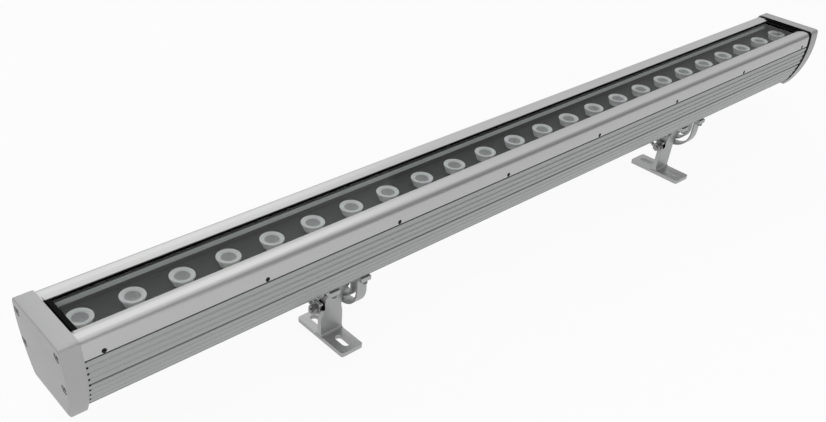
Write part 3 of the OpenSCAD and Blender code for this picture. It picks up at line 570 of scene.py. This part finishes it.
def build_rail(name, sign):
    low, inner = SEAM_D - SEAM_HALF, TOP_D + RAIL_BEVEL_D
    pts = [(OPEN_W, inner), (OPEN_W + 0.12, inner - 0.12),
           (RAIL_BEVEL_W - 0.25, TOP_D + 0.06), (RAIL_BEVEL_W + 0.25, TOP_D)]
    pts += round_top(TOP_D, BODY_HALF, RAIL_CORNER)
    pts += plain_side(TOP_D + RAIL_CORNER, SEAM_D - RAIL_EDGE, BODY_HALF)
    pts += [(side_w(low, BODY_HALF) - SEAM_IN, low), (RAIL_IN, low), (RAIL_IN, GASKET_TOP),
            (OPEN_W, GASKET_TOP)]
    bm = bmesh.new()
    prism(bm, [[(sign * w, TOTAL_H - d) for w, d in pts]], LEFT_END, RIGHT_END)
    o = finish_mesh(name + "_profile", bm, M["rail"], "lamp")

    def holes(b):
        for x in SCREW_XS:
            rod(b, "y", (LAMP_X + x, TOTAL_H - RAIL_SCREW_D), sign * RAIL_SEAT,
                sign * (BODY_HALF + CUT_PAST), RAIL_HOLE_R)

    cut_with(o, holes)
    shade(o, 25)
    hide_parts(name)


def build_end_lip_and_shade(name, x0, x1, edge):
    """The rubber at a body end: it fills the ends of the grooves and the seam before the cap. It is
    the end gasket, carried into the groove ends and past the body's end as painted shade for the
    shadow under the cap's edge.
    """
    def outline(inset):
        top, half = TOP_D + inset, BODY_HALF - inset
        low = TOP_D + 1.3 + max(inset, FIT)
        pts = [(0.0, low), (OPEN_W, low), (RAIL_BEVEL_W + 0.3, top)]
        pts += round_top(top, half, RAIL_CORNER)
        pts += plain_side(top + RAIL_CORNER, BOTTOM_D - inset - BOTTOM_CORNER, half, 24)
        pts += round_bottom(BOTTOM_D - inset, half)
        return mirror_loop(pts + [(0.0, BOTTOM_D - inset)])

    bm = bmesh.new()
    prism(bm, [outline(edge), outline(LIP_THICK)], x0, x1)
    o = finish_mesh(name, bm, M["rubber"], "lamp")


# black rubber at both body ends: the end gasket, carried into the groove ends and past the body's
# end as painted shade under the cap's edge
build_end_lip_and_shade("end_lip_and_shade_left", LEFT_END, LEFT_END + LIP_LENGTH, 0.12)
build_end_lip_and_shade("end_lip_and_shade_right", RIGHT_END - LIP_LENGTH, RIGHT_END + CABLE_GAP, -0.15)
build_housing()
build_rail("front_rail", -1)
build_rail("rear_rail", 1)


# Glass and gasket

GASKET_END = 6.0
GLASS_IN = 0.8
GLASS_EDGE = 0.3


def build_gasket():
    bm = bmesh.new()

    def rectangle(inset, half_y, z):
        x0, x1 = LEFT_END + inset, RIGHT_END - inset
        corners = ((x0, -half_y), (x1, -half_y), (x1, half_y), (x0, half_y))
        return [bm.verts.new((x * MM, y * MM, z * MM)) for x, y in corners]

    def layer(low_d, high_d, inset, half_y):
        """One layer of the frame, with its opening."""
        outer, inner = [], []
        for z in (TOTAL_H - low_d, TOTAL_H - high_d):
            outer.append(rectangle(0.0, GASKET_HALF, z))
            inner.append(rectangle(inset, half_y, z))
        for a, b in (outer, inner, (outer[0], inner[0]), (outer[1], inner[1])):
            band(bm, a, b)

    layer(GLASS_TOP, GASKET_TOP, GASKET_END, CHANNEL_W)
    layer(GLASS_LOW, GLASS_TOP, GLASS_IN, GASKET_HALF - GLASS_IN)
    layer(GASKET_LOW, GLASS_LOW, GASKET_END, CHANNEL_W)
    o = finish_mesh("gasket_frame", bm, M["rubber"], "lamp")
    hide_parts("glass_gasket")


def build_glass():
    bm = bmesh.new()
    block(bm, (LEFT_END + GLASS_IN, -GASKET_HALF + GLASS_IN, TOTAL_H - GLASS_LOW),
          (RIGHT_END - GLASS_IN, GASKET_HALF - GLASS_IN, TOTAL_H - GLASS_TOP))
    bmesh.ops.bevel(bm, geom=list(bm.edges), offset=GLASS_EDGE * MM, segments=2, affect="EDGES")
    o = finish_mesh("glass_pane", bm, M["glass"], "lamp")
    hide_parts("glass")


build_gasket()
build_glass()


# Lenses and their plate

LENS_H = 11.7
CORE_R = 5.95
CORE_DEEP = 6.0
# (radius, height) from the middle of the foot out, over the rim and down into the recess
LENS_PROFILE = [
    (0.0, 3.6), (2.2, 3.3), (3.6, 3.0), (4.1, 2.6), (4.1, 0.0), (5.3, 0.0), (5.5, 0.25),
    (9.55, LENS_H - 1.35), (9.8, LENS_H - 0.9), (9.8, LENS_H - 0.4), (9.68, LENS_H - 0.12),
    (9.4, LENS_H), (8.2, LENS_H), (7.9, LENS_H - 0.1), (6.6, LENS_H - 0.5),
    (6.15, LENS_H - 0.75), (5.9, LENS_H - 1.3), (4.7, LENS_H - 4.5), (4.2, LENS_H - 4.9),
    (1.2, LENS_H - 5.2), (0.0, LENS_H - 5.25)]
PLATE_END = 3.0
PLATE_WALL = 0.8
PLATE_HOLE_R = 7.73


def build_lenses():
    bm = bmesh.new()
    foot_z = TOTAL_H - BOARD_TOP
    for x in LED_XS:
        lathe(bm, LAMP_X + x, [(r, foot_z + h) for r, h in LENS_PROFILE])
    o = finish_mesh("lens_cups", bm, M["lens"], "lamp", sharp=50.0)
    # faces in each recess take the core finish: the clearer middle, with its darker tone as painted
    # shade
    o.data.materials.append(M["lens_core_shaded"])
    for f in o.data.polygons:
        x, y, z = [c / MM for c in f.center]
        near = min(abs(x - LAMP_X - led_x) for led_x in LED_XS)
        if math.hypot(near, y) < CORE_R and z > foot_z + LENS_H - CORE_DEEP:
            f.material_index = 1
    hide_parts("lenses")


def build_plate():
    wide = CHANNEL_W - FIT
    inner = wide - PLATE_WALL
    tray = [(wide, PLATE_LOW), (wide, PLATE_LIP + 0.2), (wide - 0.2, PLATE_LIP),
            (inner + 0.2, PLATE_LIP), (inner, PLATE_LIP + 0.2), (inner, PLATE_TOP - 0.4),
            (inner - 0.4, PLATE_TOP)]
    bm = bmesh.new()
    prism(bm, [mirror_loop(tray)], LEFT_END + PLATE_END, RIGHT_END - PLATE_END)
    o = finish_mesh("lens_holder", bm, M["plate"], "lamp")

    def holes(b):
        for x in LED_XS:
            rod(b, "z", (LAMP_X + x, 0.0), TOTAL_H - PLATE_LOW - CUT_PAST,
                TOTAL_H - PLATE_TOP + 1, PLATE_HOLE_R, n=40)

    cut_with(o, holes)
    o.data.set_sharp_from_angle(angle=math.radians(35))
    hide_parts("lens_plate")


build_lenses()
build_plate()


# End caps

CAP_HEIGHT = 70.5
CAP_CORNER = 3.0
CAP_EDGE_R = 1.1
CAP_EDGE_STEPS = 5
CAP_CHAMFER = 0.25
LEAN_D = 64.0
LEAN_X = 2.4
HIGH_PORT = (30.5, 9.5)
LOW_PORT = (30.98, 37.0)
PORT_R = 3.8
PORT_DEEP = 2.8
GLAND_D = 40.0
GLAND_HOLE_R = 6.9
GLAND_DEEP = 5.0
CAP_CUT_PAST = 3.0


def cap_loop(inset):
    half, low = CAP_HALF - inset, CAP_HEIGHT - inset
    pts = [(0.0, inset)] + [(w, d + inset) for w, d in round_top(0.0, half, CAP_CORNER)]
    pts += plain_side(CAP_CORNER + inset, low, half, 28)
    return mirror_loop(pts + [(0.0, low)])


def build_cap(name, sign):
    bm = bmesh.new()
    mid_x = LAMP_X + (CABLE_GAP if sign > 0 else 0.0)
    edge_x = CAP_OUT - CAP_EDGE_R
    stations = [(BODY_END, CAP_CHAMFER), (BODY_END + CAP_CHAMFER, 0.0)]
    for i in range(CAP_EDGE_STEPS + 1):
        a = math.pi / 2 * i / CAP_EDGE_STEPS
        stations.append((edge_x + CAP_EDGE_R * math.sin(a), CAP_EDGE_R * (1 - math.cos(a))))
    rings = []
    for x, inset in stations:
        ring = []
        for y, z in cap_loop(inset):
            # the outer face leans in at its lower edge
            past = max(0.0, TOTAL_H - z - LEAN_D) if x > edge_x - 0.01 else 0.0
            lean = past * LEAN_X / (CAP_HEIGHT - LEAN_D)
            ring.append(bm.verts.new(((mid_x + sign * (x - lean)) * MM, y * MM, z * MM)))
        rings.append(ring)
    for a, b in zip(rings, rings[1:]):
        band(bm, a, b)
    bm.faces.new(rings[0])
    # the outer face in strips between its two sides, from the top down
    down = sorted(rings[-1], key=lambda v: -v.co.z)
    near_mid = 0.01 * MM
    left = [v for v in down if v.co.y < -near_mid]
    right = [v for v in down if v.co.y > near_mid]
    top, bottom = [v for v in down if abs(v.co.y) <= near_mid]
    for k in range(len(left) - 1):
        bm.faces.new((left[k], left[k + 1], right[k + 1], right[k]))
    bm.faces.new((left[0], right[0], top))
    bm.faces.new((left[-1], right[-1], bottom))
    o = finish_mesh(name + "_casting", bm, M["cap"], "lamp")

    def ports(b):
        past = CAP_OUT + CAP_CUT_PAST
        for side in (-1, 1):
            for w, d in (HIGH_PORT, LOW_PORT):
                rod(b, "x", (side * w, TOTAL_H - d), mid_x + sign * (CAP_OUT - PORT_DEEP),
                    mid_x + sign * past, PORT_R)
        if sign > 0:
            rod(b, "x", (0.0, TOTAL_H - GLAND_D), mid_x + CAP_OUT - GLAND_DEEP, mid_x + past,
                GLAND_HOLE_R)

    cut_with(o, ports)
    shade(o, 28)
    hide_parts(name)


build_cap("end_cap_left", -1)
build_cap("end_cap_right", 1)


# Brackets

EAR_R = 22.0
EAR_WALL_IN = 20.0
GUIDE_R = 14.5
GUIDE_IN = 12.5
LUG_R = 6.3
LUG_HOLE_R = 3.3
LUG_THICK = 3.0
SHOULDER = PIVOT_Z - EAR_R - 0.8
KNUCKLE_X = 9.7
KNUCKLE_R = 9.0
KNUCKLE_LOW = (5.9, -6.8)
WASHER_T = 1.5
WASHER_GAP = 0.3
EAR_IN = KNUCKLE_X + WASHER_T + WASHER_GAP
EAR_OUT = EAR_IN + 10.5
OPEN_EAR_OUT = EAR_IN + 4.0
REAR_CUT = 4.0
FLANGE_TOP = TOTAL_H - BOTTOM_D
FLANGE_LOW = FLANGE_TOP - 4.2
FLANGE_Y = 27.2
FLANGE_WAIST_Y = 18.0
WALL_INTO_FLANGE = 0.5
FOOT_T = 4.35
FOOT_X = 12.0
FOOT_Y = 32.4
FOOT_CORNER = 2.4
WEB_HALF = 2.35
WEB_FILLET = 2.6
WEB_INTO_FOOT = 0.6
WEB_FLARE_SHARE = 0.3
SLOT_R = 3.8
SLOT_HALF = 17.0 / 2 - SLOT_R
SLOT_Y = 17.9
SLOT_STEPS = 14
SLOT_CUT_OVER = 2.65
QUARTERS = ((1, 1, 0), (-1, 1, 90), (-1, -1, 180), (1, -1, 270))


def build_foot(side, bx):
    plan = []
    for sx, sy, start in QUARTERS:
        plan += arc_pts(bx + sx * (FOOT_X - FOOT_CORNER), sy * (FOOT_Y - FOOT_CORNER),
                        FOOT_CORNER, start, start + 90, 6)
    bm = bmesh.new()
    slab(bm, plan, 0.0, FOOT_T)
    fillet_y = WEB_HALF + WEB_FILLET
    flare_z = SHOULDER - WEB_FLARE_SHARE * (SHOULDER - FOOT_T)

    def upright(b):
        """The web, which narrows to the knuckle between two levels, with its fillet."""
        right = [(fillet_y, FOOT_T - WEB_INTO_FOOT)]
        right += arc_pts(fillet_y, FOOT_T + WEB_FILLET, WEB_FILLET, -90, -180, 6)
        right += [(WEB_HALF, flare_z), (KNUCKLE_LOW[0], PIVOT_Z + KNUCKLE_LOW[1])]
        start = math.degrees(math.atan2(KNUCKLE_LOW[1], KNUCKLE_LOW[0]))
        right += arc_pts(0.0, PIVOT_Z, KNUCKLE_R, start, 90, 18)[1:]
        left = [(-y, z) for y, z in reversed(right) if abs(y) > TINY]
        prism(b, [right + left], -FOOT_X, FOOT_X)
        for z in (flare_z, SHOULDER):
            bmesh.ops.bisect_plane(b, geom=list(b.verts) + list(b.edges) + list(b.faces),
                                   plane_co=(0, 0, z * MM), plane_no=(0, 0, 1))
        for v in b.verts:
            z = v.co.z / MM
            if z > flare_z:
                k = min((z - flare_z) / (SHOULDER - flare_z), 1.0)
                v.co.x = math.copysign((FOOT_X + (KNUCKLE_X - FOOT_X) * k) * MM, v.co.x)
            v.co.x += bx * MM
        # cut_with does this again; with prism's open sliver the union depends on both
        bmesh.ops.recalc_face_normals(b, faces=b.faces)

    def slots(b):
        for y in (-SLOT_Y, SLOT_Y):
            pts = []
            for start, mid_y in ((0.0, y + SLOT_HALF), (math.pi, y - SLOT_HALF)):
                turns = [start + math.pi * i / SLOT_STEPS for i in range(SLOT_STEPS + 1)]
                pts += [(bx + SLOT_R * math.cos(a), mid_y + SLOT_R * math.sin(a)) for a in turns]
            slab(b, pts, -CUT_PAST, FOOT_T + SLOT_CUT_OVER)

    o = finish_mesh("foot_" + side + "_cast", bm, M["bracket"], "foot_" + side)
    cut_with(o, upright, "UNION")
    cut_with(o, slots)
    shade(o, 30)
    bevel(o, 0.45, 3, 38.0)
    even = o.modifiers.new("even", "WEIGHTED_NORMAL")
    even.keep_sharp = True
    even.weight = 100
    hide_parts("foot_" + side)


def u_wall(ro, ri, top, whole):
    """Loop of a U-shaped wall with straight legs up to the flange, or of its rear half only."""
    if whole:
        outer = [(ro, top)] + arc_pts(0.0, PIVOT_Z, ro, 0, -180, 28) + [(-ro, top)]
        inner = [(-ri, top)] + arc_pts(0.0, PIVOT_Z, ri, -180, 0, 24) + [(ri, top)]
    else:
        end_o, end_i = [-180 + math.degrees(math.acos(REAR_CUT / r)) for r in (ro, ri)]
        outer = [(ro, top)] + arc_pts(0.0, PIVOT_Z, ro, 0, end_o, 20)
        inner = arc_pts(0.0, PIVOT_Z, ri, end_i, 0, 18) + [(ri, top)]
    return outer + inner


def build_saddle(side, bx):
    bm = bmesh.new()
    top = FLANGE_LOW + WALL_INTO_FLANGE
    quarter = [(EAR_OUT, FLANGE_Y), (EAR_IN, FLANGE_Y), (EAR_IN, FLANGE_WAIST_Y)]
    half = quarter + [(-x, y) for x, y in reversed(quarter)]
    plan = half + [(-x, -y) for x, y in half]
    slab(bm, [(bx + x, y) for x, y in plan], FLANGE_LOW, FLANGE_TOP)
    lug = [(LUG_R, top)] + arc_pts(0.0, PIVOT_Z, LUG_R, 0, -180, 20) + [(-LUG_R, top)]
    ears = ((True, bx + EAR_IN, bx + EAR_OUT, bx + EAR_IN + LUG_THICK),
            (False, bx - OPEN_EAR_OUT, bx - EAR_IN, bx - EAR_IN))
    for whole, x0, x1, lug_x1 in ears:
        prism(bm, [u_wall(EAR_R, EAR_WALL_IN, top, whole)], x0, x1)
        prism(bm, [u_wall(GUIDE_R, GUIDE_IN, top, whole)], x0, x1)
        prism(bm, [lug, circle(0.0, PIVOT_Z, LUG_HOLE_R, 24)], x0, lug_x1)
    o = finish_mesh("saddle_" + side + "_cast", bm, M["bracket"], "saddle_" + side)
    bevel(o, 0.35, 2, 40.0)
    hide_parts("saddle_" + side)


for side, bx in (("left", LEFT_X), ("right", RIGHT_X)):
    build_foot(side, bx)
    build_saddle(side, bx)


# The other nodes keep their CAD shape, with a small bevel

NODE_BEVEL = 0.18
FINISH = {
    "front_rail_screws": "black_screw", "rear_rail_screws": "black_screw",
    "led_board": "board", "board_screws": "steel", "led_emitters": "phosphor",
    "driver_board": "driver_board", "driver_transformer": "tape", "driver_capacitors": "sleeve",
    "driver_heat_sink": "sink", "terminal_block": "terminal", "supply_wires": "wire",
    "lamp_wires": "wire", "gland_body": "dark_plastic", "gland_seal": "rubber",
    "gland_nut": "dark_plastic",
}
PAIRED_FINISH = {
    "cap_screws_": "bolt_steel", "end_gasket_": "rubber", "clamp_screws_": "dark_steel",
    "pivot_bolt_": "bolt_steel", "pivot_nut_": "bolt_steel", "lock_bolt_": "bolt_steel",
    # friction washers in black rubber; their black also stands in as painted shade inside the ear's
    # ring beside the web
    "lock_nut_": "bolt_steel", "friction_washers_": "rubber", "slide_nut_": "steel",
    "slide_screws_": "steel",
}
for start, finish in PAIRED_FINISH.items():
    for side in ("left", "right"):
        FINISH[start + side] = finish
for name, o in NODES.items():
    o.data.materials.clear()
    o.data.materials.append(M[FINISH.get(name, "body")])
for name in FINISH:
    o = NODES[name]
    for f in o.data.polygons:
        f.use_smooth = True
    o.data.update()
    bevel(o, NODE_BEVEL, 2, 40.0)


# Floor, light and camera; these places are in metres

FLOOR_R = 14.0
FLOOR_Z = -0.0004
FLOOR_SIDES = 96
FLOOR_GLOW = 0.9
SOFT_LIGHT = 0.55
WHITE = (1.0, 1.0, 1.0, 1.0)
AIM = (0.0, 0.0, 0.1)


def build_floor():
    """Plain pale floor that is near white to the camera and in reflections, but keeps shadow."""
    m, nt, bsdf, out = new_material("floor_white")
    bsdf.inputs["Base Color"].default_value = (0.93, 0.93, 0.93, 1.0)
    bsdf.inputs["Specular IOR Level"].default_value = 0.0
    rough = remap(nt, noise(nt, object_place(nt), 3.0), 0.88, 0.92)
    nt.links.new(rough, bsdf.inputs["Roughness"])
    glow = add(nt, "ShaderNodeEmission")
    glow.inputs["Color"].default_value = WHITE
    glow.inputs["Strength"].default_value = 1.0
    camera_ray, bounced = light_rays(nt)
    seen = combine(nt, "ADD", camera_ray, bounced)
    mix_shaders(nt, combine(nt, "MULTIPLY", seen, FLOOR_GLOW), bsdf, glow, out)
    bm = bmesh.new()
    rim = circle(0.0, 0.0, FLOOR_R, FLOOR_SIDES)
    bm.faces.new([bm.verts.new((x, y, FLOOR_Z)) for x, y in rim])
    floor = finish_mesh("floor", bm, m, None)


def background(nt, strength):
    n = add(nt, "ShaderNodeBackground")
    n.inputs["Color"].default_value = WHITE
    n.inputs["Strength"].default_value = strength
    return n


def build_world():
    """Soft plain light, a gradient for reflections, and plain white for the camera."""
    world = bpy.data.worlds.new("studio")
    bpy.context.scene.world = world
    world.use_nodes = True
    nt = world.node_tree
    nt.nodes.clear()
    out = add(nt, "ShaderNodeOutputWorld")
    split = add(nt, "ShaderNodeSeparateXYZ")
    nt.links.new(add(nt, "ShaderNodeTexCoord").outputs["Generated"], split.inputs[0])
    rise = remap(nt, split.outputs["Z"], 0.72, 1.2, 0.0, 0.95, "SMOOTHSTEP")
    turn = remap(nt, split.outputs["Y"], 0.3, 1.0, -0.5, 0.15, "SMOOTHSTEP")
    mirrored = background(nt, 1.0)
    nt.links.new(combine(nt, "MULTIPLY", rise, turn), mirrored.inputs["Strength"])
    camera_ray, bounced = light_rays(nt)
    lit = mix_shaders(nt, bounced, background(nt, SOFT_LIGHT), mirrored)
    mix_shaders(nt, camera_ray, lit, background(nt, 1.0), out)


def area(name, place, size, size_y, power):
    data = bpy.data.lights.new(name, "AREA")
    data.shape = "RECTANGLE"
    data.size = size
    data.size_y = size_y
    data.energy = power
    o = bpy.data.objects.new(name, data)
    bpy.context.scene.collection.objects.link(o)
    o.location = place
    o.rotation_euler = (Vector(AIM) - Vector(place)).to_track_quat("-Z", "Y").to_euler()


# The camera as solved from the photo, in mm from the photo's own origin at the lamp's top
PHOTO_X = -9.75
CAMERA_AT = (-620.8792, -467.1935, 367.7322)
CAMERA_RIGHT = (0.762141, -0.646038, 0.042154)
CAMERA_LOOK = (0.522128, 0.574854, -0.630020)
CAMERA_LENS = 37.902
CAMERA_SHIFT = (0.05799, 0.13510)


def build_camera():
    cam = bpy.data.cameras.new("photo_view")
    cam.sensor_fit = "HORIZONTAL"
    cam.sensor_width = 36.0
    cam.lens = CAMERA_LENS
    cam.shift_x, cam.shift_y = CAMERA_SHIFT
    cam.clip_start = 0.01
    cam.clip_end = 50.0
    o = bpy.data.objects.new("photo_view", cam)
    bpy.context.scene.collection.objects.link(o)
    right = Vector(CAMERA_RIGHT).normalized()
    look = Vector(CAMERA_LOOK).normalized()
    up = right.cross(look).normalized()
    right = look.cross(up).normalized()
    place = (CAMERA_AT[0] + PHOTO_X, CAMERA_AT[1], CAMERA_AT[2] + TOTAL_H)
    m = Matrix.Identity(4)
    for i in range(3):
        m[i] = (right[i], up[i], -look[i], place[i] * MM)
    o.matrix_world = m
    bpy.context.scene.camera = o


build_camera()
build_floor()
build_world()
area("key", (-0.9, -0.6, 2.2), 1.8, 1.4, 12.0)
area("fill", (-0.5, -2.0, 0.7), 2.4, 1.3, 9.0)
area("back", (0.6, 1.8, 1.6), 1.6, 1.6, 6.0)
bpy.context.scene.view_settings.view_transform = "Standard"
